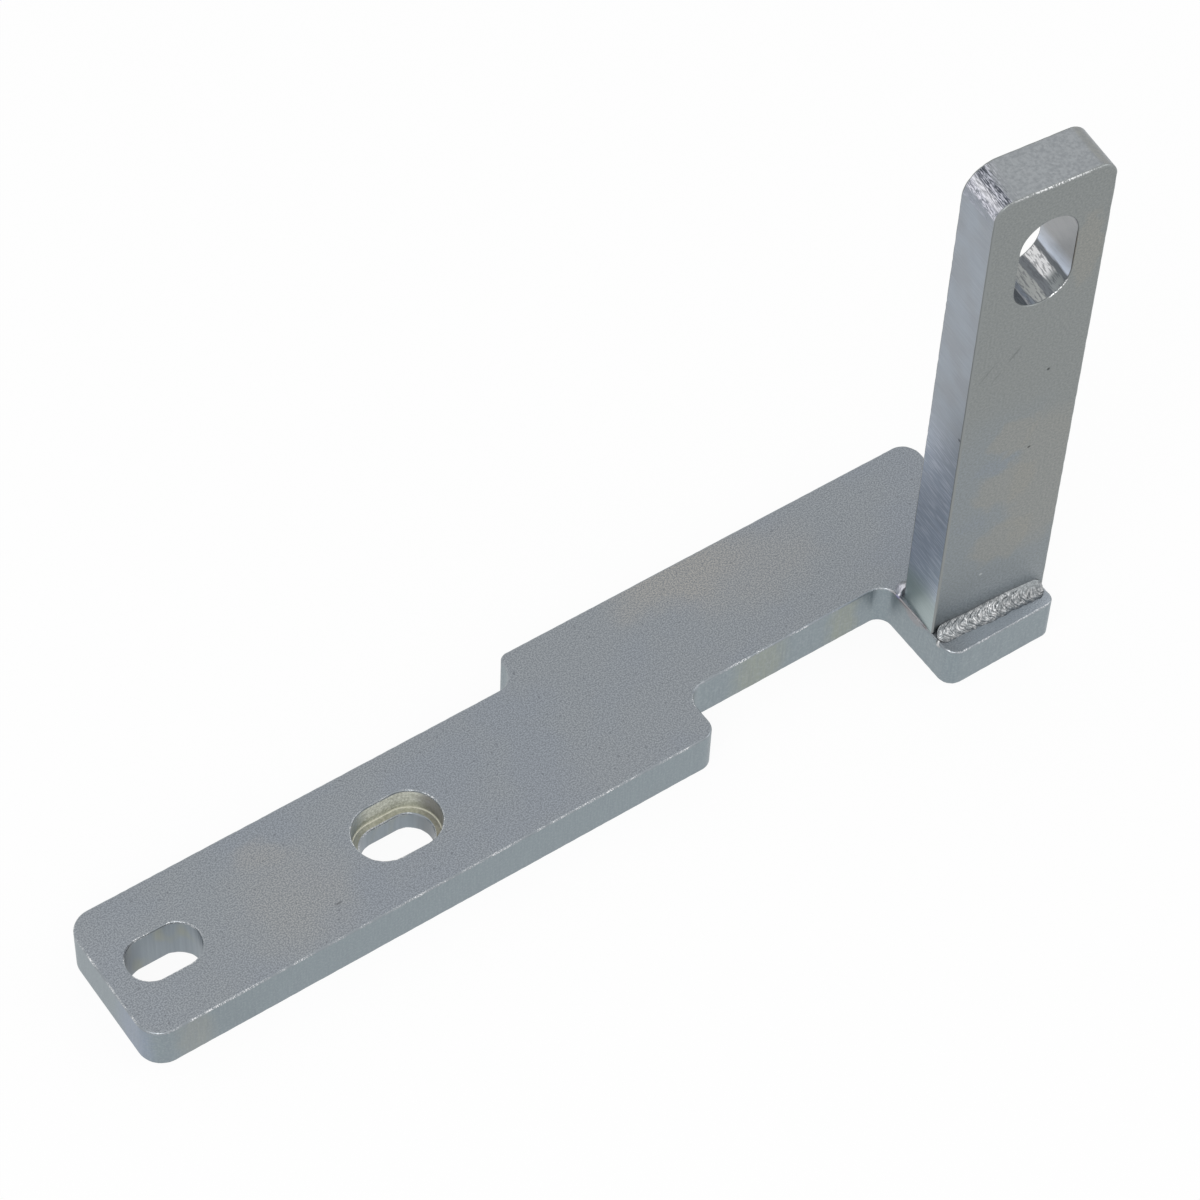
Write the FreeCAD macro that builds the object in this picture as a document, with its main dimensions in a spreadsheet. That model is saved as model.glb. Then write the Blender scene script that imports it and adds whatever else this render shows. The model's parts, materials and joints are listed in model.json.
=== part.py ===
import FreeCAD, Part
import math
import os
import Sketcher

# Engine mount bracket in millimetres, +Z up: a stepped plate that lies flat, with a flat bar
# welded upright on the tab at its right end. X runs along the plate and Y across it, to the back.
# The origin is on the plate's underside, midway between the plate's two bolt slots.

SIZES = [
    ("plate_thick", 10.0, "thickness of the sheet that the plate is cut from"),
    ("arm_width", 30.0, "width of the plate's left arm, centred on Y = 0"),
    ("slot_pitch", 49.2, "distance between the two plate slots, middle to middle"),
    ("end_to_slot", 11.8, "from the arm's left end to the middle of the first slot"),
    ("front_step_at", 121.9, "from the left end to the step in the front edge"),
    ("front_step_deep", 10.7, "how far the front edge steps back there"),
    ("back_step_at", 97.1, "from the left end to the step in the back edge"),
    ("back_step_deep", 6.6, "how far the back edge steps out there"),
    ("tab_at", 168.5, "from the left end to the left side of the tab"),
    ("tab_width", 24.8, "width of the tab that carries the bar"),
    ("tab_reach", 10.2, "how far the tab stands out in front of the arm"),
    ("end_radius", 4.8, "two corners of the arm's left end"),
    ("front_step_radius", 3.0, "outer corner of the front step"),
    ("front_inner_radius", 4.0, "inner corner of the front step"),
    ("back_step_radius", 2.0, "outer corner of the back step"),
    ("back_inner_radius", 4.0, "inner corner of the back step"),
    ("neck_radius", 3.0, "inner corner where the tab leaves the neck"),
    ("tab_left_radius", 3.0, "front left corner of the tab"),
    ("tab_right_radius", 2.0, "front right corner of the tab"),
    ("back_corner_radius", 4.0, "back right corner of the plate"),
    ("slot_width", 9.4, "width of both plate slots"),
    ("slot_length", 14.6, "length of both plate slots, end to end"),
    ("recess_width", 12.5, "width of the counterbore over the second slot"),
    ("recess_length", 17.6, "length of the counterbore, end to end"),
    ("recess_deep", 5.2, "depth of the counterbore"),
    ("plate_edge_break", 0.3, "rounding of the plate's outline, top and bottom"),
    ("bar_width", 24.8, "width of the upright bar"),
    ("bar_thick", 10.3, "thickness of the upright bar"),
    ("bar_height", 118.5, "height of the bar above the plate"),
    ("bar_turn", 5.0, "degrees that the bar is turned, right side to the front"),
    ("bar_side_gap", 0.1, "from the tab's left side to the bar's front left corner"),
    ("bar_setback", 6.4, "from the tab's front edge to the same corner"),
    ("bar_slot_width", 11.8, "width of the slot in the bar"),
    ("bar_slot_length", 21.5, "length of the slot in the bar, end to end"),
    ("bar_slot_drop", 19.5, "from the bar's top to the middle of its slot"),
    ("ground_front", 3.8, "radius of the bar's hand-ground top left corner, at the front"),
    ("ground_back", 6.4, "radius of the same corner at the back"),
    ("bar_right_radius", 4.0, "radius of the bar's top right corner"),
    ("bar_edge_break", 0.4, "rounding of the bar's long edges"),
    ("weld_leg", 3.0, "leg of both fillet welds, on the plate and on the bar"),
    ("weld_bite", 0.8, "how deep the weld metal has melted into the bar, at the bar's foot"),
    ("front_weld_left", 0.8, "from the bar's left side to the start of the front bead"),
    ("front_weld_right", 0.8, "from the end of the front bead to the bar's right side"),
    ("rear_weld_left", -0.6, "from the bar's left side to the end of the rear bead, which passes it"),
    ("rear_weld_right", 1.4, "from the other end of the rear bead to the bar's right side"),
    ("ripple_pitch", 2.1, "about how far apart the ripples of a bead are"),
    ("ripple_step", 0.35, "how far each ripple stands out over the one before it"),
    ("ripple_lean", 25.0, "degrees that the ripples lean back over one another"),
    ("bead_crown", 0.75, "how far the bead bulges out between its toes"),
]

# The outer and inner corner of a step take at most these shares of its depth, so both fit.
OUTER_SHARE = 0.35
INNER_SHARE = 0.62
# Cutting shapes stand out of the metal by this much, so that no two faces coincide.
CUT_MARGIN = 1.0
# Ripples and bead ends reach past the toes of the weld by this factor before they are trimmed.
TOE_OVERLAP = 1.06
# A bead end's dome has its shoulder at these shares of its radius and of its height.
SHOULDER_OUT = 0.6
SHOULDER_UP = 0.64
# Half of a ripple's thickness, as a share of their pitch, so that each laps over the next.
RIPPLE_SHARE = 0.6
# The bar's face has melted this many legs up, just past the highest toe of the bead.
FUSED_SHARE = 1.1
# Points closer together than this are the same point.
SAME_POINT = 1e-4
# What each weld leaves bare of the bar's width, at the left and at the right.
FRONT_GAPS = ("Sizes.front_weld_left", "Sizes.front_weld_right")
REAR_GAPS = ("Sizes.rear_weld_left", "Sizes.rear_weld_right")

os.makedirs("parts", exist_ok=True)
doc = FreeCAD.newDocument("engine_mount_bracket")
sheet = doc.addObject("Spreadsheet::Sheet", "Sizes")
for row, (alias, number, meaning) in enumerate(SIZES, start=1):
    sheet.set("A%d" % row, alias)
    sheet.set("B%d" % row, str(number))
    sheet.set("C%d" % row, meaning)
    sheet.setAlias("B%d" % row, alias)
working = doc.addObject("Spreadsheet::Sheet", "Working")
doc.recompute()


def value(expression):
    """What an expression on the sheet's cells comes to, worked out in a cell of its own."""
    working.set("A1", "=" + expression)
    working.recompute()
    return float(working.get("A1"))


def new_body(name, placement=None):
    """An empty body labelled as its piece, placed by an expression."""
    body = doc.addObject("PartDesign::Body", name)
    body.Label = name
    if placement:
        body.setExpression("Placement", placement)
    return body


def base_feature(body, role):
    """One of the body's own base planes or axes."""
    return next(feature for feature in body.Origin.OriginFeatures if feature.Role == role)


def new_sketch(body, name, plane, offset=None):
    """A sketch on one of the body's base planes, moved off it by an expression."""
    sketch = body.newObject("Sketcher::SketchObject", name)
    sketch.AttachmentSupport = [(base_feature(body, plane), "")]
    sketch.MapMode = "FlatFace"
    if offset:
        sketch.setExpression("AttachmentOffset", offset)
    return sketch


def dimension(sketch, kind, *where, to):
    """A dimension that follows an expression."""
    index = sketch.addConstraint(Sketcher.Constraint(kind, *where, value(to)))
    sketch.setExpression("Constraints[%d]" % index, to)


def locate(sketch, piece, point, across, up):
    """Dimension a point of a line or arc from the sketch's origin, with an expression each way."""
    for kind, axis, expression in (("DistanceX", -2, across), ("DistanceY", -1, up)):
        distance = value(expression)
        if abs(distance) < SAME_POINT:
            sketch.addConstraint(Sketcher.Constraint("PointOnObject", piece, point, axis))
        elif distance > 0:
            dimension(sketch, kind, -1, 1, piece, point, to=expression)
        else:
            dimension(sketch, kind, piece, point, -1, 1, to="-(%s)" % expression)


def draw_line(sketch, start, end):
    """One straight line."""
    return sketch.addGeometry(Part.LineSegment(start, end), False)


def draw_arc(sketch, centre, radius, start_angle, end_angle):
    """One arc, anticlockwise from its start to its end."""
    circle = Part.Circle(centre, FreeCAD.Vector(0, 0, 1), radius)
    return sketch.addGeometry(Part.ArcOfCircle(circle, start_angle, end_angle), False)


def draw_polygon(sketch, corners):
    """Straight lines round the corners, each corner a pair of expressions."""
    points = [FreeCAD.Vector(value(across), value(up), 0) for across, up in corners]
    lines = [draw_line(sketch, here, there) for here, there in zip(points, points[1:] + points[:1])]
    for line, following in zip(lines, lines[1:] + lines[:1]):
        sketch.addConstraint(Sketcher.Constraint("Coincident", line, 2, following, 1))
    for line, (across, up) in zip(lines, corners):
        locate(sketch, line, 1, across, up)


def draw_slot(sketch, across, up, length, width, upright=False):
    """A slot with round ends about the middle that the first two expressions give."""
    middle = FreeCAD.Vector(value(across), value(up), 0)
    radius = value(width) / 2
    half_run = (value(length) - value(width)) / 2
    quarter = math.pi / 2
    turn = quarter if upright else 0.0
    along = FreeCAD.Vector(math.cos(turn), math.sin(turn), 0) * half_run
    aside = FreeCAD.Vector(-math.sin(turn), math.cos(turn), 0) * radius
    far_end = draw_arc(sketch, middle + along, radius, turn - quarter, turn + quarter)
    near_end = draw_arc(sketch, middle - along, radius, turn + quarter, turn + 3 * quarter)
    one_side = draw_line(sketch, middle - along - aside, middle + along - aside)
    other_side = draw_line(sketch, middle + along + aside, middle - along + aside)
    for before, after in ((one_side, far_end), (far_end, other_side),
                          (other_side, near_end), (near_end, one_side)):
        sketch.addConstraint(Sketcher.Constraint("Tangent", before, 2, after, 1))
    sketch.addConstraint(Sketcher.Constraint("Vertical" if upright else "Horizontal", one_side))
    dimension(sketch, "Radius", far_end, to="%s / 2" % width)
    run_kind = "DistanceY" if upright else "DistanceX"
    dimension(sketch, run_kind, near_end, 3, far_end, 3, to="%s - %s" % (length, width))
    reach = " + (%s - %s) / 2" % (length, width)
    if upright:
        locate(sketch, far_end, 3, across, up + reach)
    else:
        locate(sketch, far_end, 3, across + reach, up)


def pad(body, sketch, length, backwards=False):
    """Sweep the sketch straight into metal."""
    feature = body.newObject("PartDesign::Pad", sketch.Name + "_pad")
    feature.Profile = sketch
    feature.Reversed = backwards
    feature.setExpression("Length", length)
    doc.recompute()


def pocket(body, sketch, depth=None, both_ways=False):
    """Cut the sketch away to a depth, or right through, and see that metal comes off."""
    before = body.Tip.Shape.Volume
    feature = body.newObject("PartDesign::Pocket", sketch.Name + "_cut")
    feature.Profile = sketch
    feature.Midplane = both_ways
    if depth:
        feature.setExpression("Length", depth)
    else:
        feature.Type = "ThroughAll"
    doc.recompute()
    if feature.Shape.Volume > before - SAME_POINT:
        raise RuntimeError(feature.Name + " takes nothing off")
    return feature


def revolve(body, sketch):
    """Turn the sketch round its own upright axis."""
    feature = body.newObject("PartDesign::Revolution", sketch.Name + "_turned")
    feature.Profile = sketch
    feature.ReferenceAxis = (sketch, ["V_Axis"])
    doc.recompute()
    return feature


def repeat_along_x(body, feature, length, copies):
    """Repeat a feature along the body's X axis, the last copy at the given length."""
    pattern = body.newObject("PartDesign::LinearPattern", feature.Name + "_row")
    pattern.Originals = [feature]
    pattern.Direction = (base_feature(body, "X_Axis"), [""])
    pattern.setExpression("Length", length)
    pattern.setExpression("Occurrences", copies)
    body.Tip = pattern
    doc.recompute()


def round_edges(body, name, radius, chosen):
    """Round the edges whose ends all pass the test that is called chosen."""
    names = []
    for number, edge in enumerate(body.Tip.Shape.Edges, start=1):
        if all(chosen(vertex.Point) for vertex in edge.Vertexes):
            names.append("Edge%d" % number)
    before = body.Tip
    feature = body.newObject("PartDesign::Fillet", name)
    feature.Base = (before, names)
    feature.setExpression("Radius", radius)
    doc.recompute()


def same(one, other):
    """Whether two distances are equal."""
    return abs(one - other) < SAME_POINT


def make_base_plate():
    """The flat plate: a stepped outline with rounded corners, and two slots, one counterbored."""
    left = "-(Sizes.slot_pitch / 2 + Sizes.end_to_slot)"
    front = "-Sizes.arm_width / 2"
    back = "Sizes.arm_width / 2"
    front_step = left + " + Sizes.front_step_at"
    back_step = left + " + Sizes.back_step_at"
    tab_left = left + " + Sizes.tab_at"
    tab_right = tab_left + " + Sizes.tab_width"
    neck_front = front + " + Sizes.front_step_deep"
    tab_front = front + " - Sizes.tab_reach"
    wide_back = back + " + Sizes.back_step_deep"

    body = new_body("base_plate")
    outline = new_sketch(body, "plate_outline", "XY_Plane")
    draw_polygon(outline, [
        (left, front), (front_step, front), (front_step, neck_front), (tab_left, neck_front),
        (tab_left, tab_front), (tab_right, tab_front), (tab_right, wide_back),
        (back_step, wide_back), (back_step, back), (left, back)])
    pad(body, outline, "Sizes.plate_thick")

    outer = "min(Sizes.%s; Sizes.%s * " + "%g)" % OUTER_SHARE
    inner = "min(Sizes.%s; Sizes.%s * " + "%g)" % INNER_SHARE
    corners = [
        ("end_corners", "Sizes.end_radius", [(left, front), (left, back)]),
        ("front_step_corner", outer % ("front_step_radius", "front_step_deep"), [(front_step, front)]),
        ("front_inner_corner", inner % ("front_inner_radius", "front_step_deep"),
         [(front_step, neck_front)]),
        ("back_step_corner", outer % ("back_step_radius", "back_step_deep"), [(back_step, wide_back)]),
        ("back_inner_corner", inner % ("back_inner_radius", "back_step_deep"), [(back_step, back)]),
        ("neck_corner", "Sizes.neck_radius", [(tab_left, neck_front)]),
        ("tab_left_corner", "Sizes.tab_left_radius", [(tab_left, tab_front)]),
        ("tab_right_corner", "Sizes.tab_right_radius", [(tab_right, tab_front)]),
        ("back_right_corner", "Sizes.back_corner_radius", [(tab_right, wide_back)]),
    ]
    for name, radius, places in corners:
        spots = [(value(across), value(up)) for across, up in places]
        round_edges(body, name, radius, lambda point, spots=spots: any(
            same(point.x, x) and same(point.y, y) for x, y in spots))
    thick = value("Sizes.plate_thick")
    round_edges(body, "outline_edge_break", "Sizes.plate_edge_break",
                lambda point: same(point.z, 0) or same(point.z, thick))

    on_top = "placement(vector(0; 0; Sizes.plate_thick); rotation(vector(0; 0; 1); 0))"
    for name, side in (("left_slot", "-"), ("right_slot", "")):
        slot = new_sketch(body, name, "XY_Plane", on_top)
        draw_slot(slot, side + "Sizes.slot_pitch / 2", "0", "Sizes.slot_length", "Sizes.slot_width")
        pocket(body, slot)
    recess = new_sketch(body, "recess", "XY_Plane", on_top)
    draw_slot(recess, "Sizes.slot_pitch / 2", "0", "Sizes.recess_length", "Sizes.recess_width")
    pocket(body, recess, "Sizes.recess_deep")
    return body


def ground_corner(body, name, depth, radius):
    """A sketch of what grinding took off the bar's top left corner, at one depth in the bar."""
    offset = "placement(vector(0; 0; -(%s)); rotation(vector(0; 0; 1); 0))" % depth
    sketch = new_sketch(body, name, "XZ_Plane", offset)
    size = value(radius)
    top = value("Sizes.bar_height")
    quarter = math.pi / 2
    centre = FreeCAD.Vector(size, top - size, 0)
    outside = FreeCAD.Vector(-CUT_MARGIN, top + CUT_MARGIN, 0)
    above = FreeCAD.Vector(size, top + CUT_MARGIN, 0)
    beside = FreeCAD.Vector(-CUT_MARGIN, top - size, 0)
    arc = draw_arc(sketch, centre, size, quarter, 2 * quarter)
    level = draw_line(sketch, centre - FreeCAD.Vector(size, 0, 0), beside)
    rise = draw_line(sketch, beside, outside)
    across = draw_line(sketch, outside, above)
    drop = draw_line(sketch, above, centre + FreeCAD.Vector(0, size, 0))
    for before, after in ((arc, level), (level, rise), (rise, across), (across, drop), (drop, arc)):
        sketch.addConstraint(Sketcher.Constraint("Coincident", before, 2, after, 1))
    locate(sketch, arc, 3, radius, "Sizes.bar_height - %s" % radius)
    locate(sketch, arc, 1, radius, "Sizes.bar_height")
    locate(sketch, rise, 1, "-%g" % CUT_MARGIN, "Sizes.bar_height - %s" % radius)
    locate(sketch, across, 1, "-%g" % CUT_MARGIN, "Sizes.bar_height + %g" % CUT_MARGIN)
    locate(sketch, drop, 1, radius, "Sizes.bar_height + %g" % CUT_MARGIN)
    sketch.addConstraint(Sketcher.Constraint("Horizontal", level))
    return sketch


def fused_ends(left_gap, right_gap):
    """Where a weld has melted into the bar's face, clear of the face's rounded edges."""
    clear = "2 * Sizes.bar_edge_break"
    near_end = "max(%s; %s)" % (left_gap, clear)
    far_end = "(Sizes.bar_width - max(%s; %s))" % (right_gap, clear)
    return near_end, far_end


def melt_into_bar(body, name, face_at, inward, left_gap, right_gap):
    """Take off the bar what a weld has melted, from its toe on the face down to its root."""
    near_end, far_end = fused_ends(left_gap, right_gap)
    melted = new_sketch(body, name, "YZ_Plane",
                        "placement(vector(0; 0; %s); rotation(vector(0; 0; 1); 0))" % far_end)
    draw_polygon(melted, [
        (face_at, "0"), ("%s %s Sizes.weld_bite" % (face_at, inward), "0"),
        (face_at, "Sizes.weld_leg * %g" % FUSED_SHARE)])
    pocket(body, melted, "%s - %s" % (far_end, near_end))


def make_upright_bar():
    """The flat bar: rounded top corners, one ground by hand, an upright slot and a melted foot."""
    foot = ("placement(vector("
            "Sizes.tab_at + Sizes.bar_side_gap - Sizes.slot_pitch / 2 - Sizes.end_to_slot; "
            "Sizes.bar_setback - Sizes.tab_reach - Sizes.arm_width / 2; "
            "Sizes.plate_thick); rotation(vector(0; 0; -1); Sizes.bar_turn))")
    body = new_body("upright_bar", foot)
    face = new_sketch(body, "bar_face", "XZ_Plane")
    draw_polygon(face, [
        ("0", "0"), ("Sizes.bar_width", "0"),
        ("Sizes.bar_width", "Sizes.bar_height"), ("0", "Sizes.bar_height")])
    pad(body, face, "Sizes.bar_thick", backwards=True)

    width = value("Sizes.bar_width")
    thick = value("Sizes.bar_thick")
    height = value("Sizes.bar_height")
    round_edges(body, "right_corner", "Sizes.bar_right_radius",
                lambda point: same(point.x, width) and same(point.z, height))
    front_cut = ground_corner(body, "ground_at_front", "0", "Sizes.ground_front")
    back_cut = ground_corner(body, "ground_at_back", "Sizes.bar_thick", "Sizes.ground_back")
    grinding = body.newObject("PartDesign::SubtractiveLoft", "ground_left_corner")
    grinding.Profile = front_cut
    grinding.Sections = [back_cut]
    grinding.Ruled = True
    doc.recompute()
    round_edges(body, "long_edge_break", "Sizes.bar_edge_break",
                lambda point: same(point.y, 0) or same(point.y, thick))

    slot = new_sketch(body, "bar_slot", "XZ_Plane")
    draw_slot(slot, "Sizes.bar_width / 2", "Sizes.bar_height - Sizes.bar_slot_drop",
              "Sizes.bar_slot_length", "Sizes.bar_slot_width", upright=True)
    pocket(body, slot)
    melt_into_bar(body, "front_melted", "0", "+", *FRONT_GAPS)
    melt_into_bar(body, "rear_melted", "Sizes.bar_thick", "-", *REAR_GAPS)
    return body


def make_weld(name, root, bar_side, left_gap, right_gap):
    """A fillet weld in the corner between bar and plate, as a row of overlapping ripples.

    In the bead's own frame X runs along the joint and Y leans out half way between the two
    faces it joins, which lie at 45 degrees to either side of Y. The bar is on the side of Z
    that bar_side gives the sign of. A ripple reaches furthest along X at its root, where its
    lean carries it, and the last one ends with the bead.
    """
    face = "Sizes.weld_leg / sqrt(2)"
    reach = "Sizes.weld_leg / sqrt(2) * %g" % TOE_OVERLAP
    start = "(%s + %s)" % (left_gap, reach)
    run = "(Sizes.bar_width - %s - %s - 2 * %s)" % (left_gap, right_gap, reach)
    body = new_body(name, root)

    throat = new_sketch(body, name + "_throat", "YZ_Plane",
                        "placement(vector(0; 0; %s); rotation(vector(0; 0; 1); 0))" % start)
    draw_polygon(throat, [("0", "0"), (face, "-" + face), (face, face)])
    pad(body, throat, run)

    crown = "Sizes.bead_crown"
    end = new_sketch(body, name + "_end", "XY_Plane",
                     "placement(vector(%s; 0; 0); rotation(vector(0; 0; 1); 0))" % start)
    draw_polygon(end, [
        ("0", "0"), (reach, face),
        ("%s * %g" % (reach, SHOULDER_OUT), "%s + %s * %g" % (face, crown, SHOULDER_UP)),
        ("0", "%s + %s" % (face, crown))])
    repeat_along_x(body, revolve(body, end), run, "2")

    radius = "((pow(%s; 2) + pow(%s; 2)) / (2 * %s))" % (reach, crown, crown)
    ripple = new_sketch(body, name + "_ripple", "XY_Plane", (
        "placement(vector(%s + %s * sin(Sizes.ripple_lean); %s + %s - %s * cos(Sizes.ripple_lean); 0); "
        "rotation(vector(0; 0; -1); 90 - Sizes.ripple_lean))") % (start, radius, face, crown, radius))
    half = "Sizes.ripple_pitch * %g" % RIPPLE_SHARE
    draw_polygon(ripple, [
        ("0", "-" + half), (radius, "-" + half),
        (radius + " - Sizes.ripple_step", half), ("0", half)])
    leaning = "((%s + %s) * tan(Sizes.ripple_lean) + %s / cos(Sizes.ripple_lean))" % (face, crown, half)
    row = "(%s - max(0; %s - %s))" % (run, leaning, reach)
    repeat_along_x(body, revolve(body, ripple), row, "floor(%s / Sizes.ripple_pitch) + 1" % row)

    trim = new_sketch(body, name + "_trim", "YZ_Plane")
    far = "Sizes.weld_leg * 4"
    draw_polygon(trim, [("0", "0"), (far, far), ("-" + far, far), ("-" + far, "-" + far), (far, "-" + far)])
    pocket(body, trim, both_ways=True)

    near_end, far_end = fused_ends(left_gap, right_gap)
    fused = new_sketch(body, name + "_fused", "YZ_Plane",
                       "placement(vector(0; 0; %s); rotation(vector(0; 0; 1); 0))" % near_end)
    bite = "Sizes.weld_bite / sqrt(2)"
    climb = "Sizes.weld_leg * %g / sqrt(2)" % FUSED_SHARE
    draw_polygon(fused, [("0", "0"), ("-" + bite, bar_side + bite), (climb, bar_side + climb)])
    pad(body, fused, "%s - %s" % (far_end, near_end))
    return body


def check_and_write(bodies):
    """Stop at anything that failed, then write each piece to a file of its own."""
    doc.recompute()
    for item in doc.Objects:
        if "Invalid" in item.State or "Error" in item.State:
            raise RuntimeError("%s failed: %s" % (item.Name, item.State))
    for body in bodies:
        shape = body.Shape
        if shape.isNull() or not shape.isValid() or len(shape.Solids) != 1:
            raise RuntimeError(body.Label + " isn't one sound solid")
        shape.exportStep("parts/%s.step" % body.Label)
        print("%-12s %9.1f mm3" % (body.Label, shape.Volume))


front_root = "upright_bar.Placement * placement(vector(0; 0; 0); rotation(vector(1; 0; 0); 135))"
rear_root = ("upright_bar.Placement * placement(vector(0; Sizes.bar_thick; 0); "
             "rotation(vector(1; 0; 0); 45))")
check_and_write([
    make_base_plate(),
    make_upright_bar(),
    make_weld("front_weld", front_root, "-", *FRONT_GAPS),
    make_weld("rear_weld", rear_root, "", *REAR_GAPS),
])
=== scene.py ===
import json
import math

import bmesh
import bpy
from mathutils import Matrix, Vector, noise


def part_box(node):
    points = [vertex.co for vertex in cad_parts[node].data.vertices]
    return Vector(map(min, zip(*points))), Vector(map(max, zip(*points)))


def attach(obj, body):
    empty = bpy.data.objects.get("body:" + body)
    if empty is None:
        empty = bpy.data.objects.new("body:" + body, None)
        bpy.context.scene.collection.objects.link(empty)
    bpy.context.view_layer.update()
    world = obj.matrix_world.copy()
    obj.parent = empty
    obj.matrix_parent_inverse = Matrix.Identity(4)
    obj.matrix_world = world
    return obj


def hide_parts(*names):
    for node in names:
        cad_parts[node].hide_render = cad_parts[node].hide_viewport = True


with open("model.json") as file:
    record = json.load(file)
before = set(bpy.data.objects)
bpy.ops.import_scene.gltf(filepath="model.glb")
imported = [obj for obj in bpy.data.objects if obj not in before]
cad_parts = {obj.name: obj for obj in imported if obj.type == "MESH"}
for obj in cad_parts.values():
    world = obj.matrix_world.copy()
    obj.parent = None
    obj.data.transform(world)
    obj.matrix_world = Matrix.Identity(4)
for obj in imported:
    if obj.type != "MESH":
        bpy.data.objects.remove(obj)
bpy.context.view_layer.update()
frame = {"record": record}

# Base plate: one piece of 10 mm steel sheet, cut to its stepped outline with square-cut walls, then
# blasted all over and zinc plated. Two slots take the bolts. The second is counterbored by a cutter
# that left level rings on its wall. The cut edges are sharp and their plating is broken; the near-white
# flecks along them are partly chips in the plating and partly painted glints.
MM = 0.001
plate_low, plate_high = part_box("base_plate")
mounts = {mount["name"]: mount for mount in frame["record"]["mounts"]}
arm_slots = mounts["arm_slots"]["dims"]
plate_top = plate_high.z
arm_front = -15.0 * MM
arm_back = 15.0 * MM
neck_front = -4.3 * MM
front_step_x = 85.5 * MM
back_step_x = 60.7 * MM
tab_left_x = plate_high.x - 24.8 * MM
slot_x = arm_slots["spacing_x_mm"] / 2 * MM
slot_width = arm_slots["hole_r_mm"] * 2 * MM
slot_length = arm_slots["slot_length_mm"] * MM
recess_width = 12.5 * MM
recess_length = 17.6 * MM
ledge_z = 4.8 * MM
edge_break = 0.3 * MM
rim_flare = 0.3 * MM
rim_waist = 0.1 * MM
rim_depth = 0.35 * MM
low_rim_depth = 0.4 * MM
ledge_fillet = 0.35 * MM
ledge_waist = 0.1 * MM
rim_nick = 0.1 * MM
plate_corners = [
    ((plate_low.x, arm_front), 4.8 * MM),
    ((front_step_x, arm_front), 3.0 * MM),
    ((front_step_x, neck_front), 4.0 * MM),
    ((tab_left_x, neck_front), 3.0 * MM),
    ((tab_left_x, plate_low.y), 3.0 * MM),
    ((plate_high.x, plate_low.y), 2.0 * MM),
    ((plate_high.x, plate_high.y), 4.0 * MM),
    ((back_step_x, plate_high.y), 2.0 * MM),
    ((back_step_x, arm_back), 4.0 * MM),
    ((plate_low.x, arm_back), 4.8 * MM),
]
PLATE_SKIN, PLATE_CUT, PLATE_RIM, PLATE_SLOT, PLATE_RECESS = range(5)


def cut_outline(bm, corners, place, arc_steps=12, pitch=1.0 * MM):
    """A flat face with rounded corners and evenly divided straight sides, put in place by a matrix."""
    points = [bm.verts.new((across, up, 0)) for (across, up), radius in corners]
    bm.faces.new(points)
    for point, ((across, up), radius) in zip(points, corners):
        if radius:
            bmesh.ops.bevel(bm, geom=[point], offset=radius, offset_type="OFFSET", affect="VERTICES",
                            segments=arc_steps, profile=0.5, material=-1)
    for edge in [edge for edge in bm.edges if edge.calc_length() > 2 * pitch]:
        bmesh.ops.subdivide_edges(bm, edges=[edge], cuts=int(edge.calc_length() / pitch))
    bmesh.ops.transform(bm, matrix=place, verts=bm.verts)


def slot_ring(bm, length, width, place, steps=64):
    """One ring round a slot: a circle pulled apart at its middle, put in place by a matrix."""
    ring = bmesh.ops.create_circle(bm, cap_ends=False, segments=steps, radius=width / 2,
                                   matrix=Matrix.Rotation(math.pi / steps, 4, "Z"))["verts"]
    for vertex in ring:
        vertex.co.x += math.copysign((length - width) / 2, vertex.co.x)
    bmesh.ops.transform(bm, matrix=place, verts=ring)
    inside = set(ring)
    return [edge for vertex in ring for edge in vertex.link_edges
            if edge.verts[0] == vertex and edge.other_vert(vertex) in inside]


def slot_walls(bm, rings, finish):
    """Bridge each ring to the next, and give the walls a finish."""
    for one, following in zip(rings, rings[1:]):
        walls = bmesh.ops.bridge_loops(bm, edges=one + following)["faces"]
        for wall in walls:
            wall.material_index = finish


def fray(bm, finish, depth, flat_axis, levels, cell=0.9 * MM):
    """Nick the plating along the rims: rim vertices off the flat faces sink in by an uneven amount."""
    bm.normal_update()
    chosen = {vertex for face in bm.faces if face.material_index == finish for vertex in face.verts
              if all(face.material_index == finish for face in vertex.link_faces)
              and all(abs(vertex.co[flat_axis] - level) > 1e-6 for level in levels)}
    for vertex in chosen:
        bite = noise.noise(vertex.co / cell) + 0.6 * noise.noise(vertex.co / cell * 3.1)
        vertex.co -= vertex.normal * depth * max(0.0, bite + 0.1)


def finish_piece(name, bm, finishes, slot, *nodes):
    """Turn the mesh into a piece of the part, with its finishes and the CAD nodes it stands for."""
    bmesh.ops.recalc_face_normals(bm, faces=bm.faces)
    mesh = bpy.data.meshes.new(name)
    bm.to_mesh(mesh)
    bm.free()
    for material in finishes:
        mesh.materials.append(material)
    mesh.shade_smooth()
    mesh.set_sharp_from_angle(angle=math.radians(38))
    piece = bpy.data.objects.new(name, mesh)
    bpy.context.scene.collection.objects.link(piece)
    even = piece.modifiers.new("even_shading", "WEIGHTED_NORMAL")
    even.keep_sharp = True
    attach(piece, "root")
    if nodes:
        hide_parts(*nodes)


def add(tree, kind, sockets=None, **settings):
    """One shader node. Each of its sockets takes a value or another node's output."""
    made = tree.nodes.new(kind)
    for name, setting in settings.items():
        setattr(made, name, setting)
    for name, source in (sockets or {}).items():
        if isinstance(source, bpy.types.NodeSocket):
            tree.links.new(source, made.inputs[name])
        else:
            made.inputs[name].default_value = source
    return made


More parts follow.
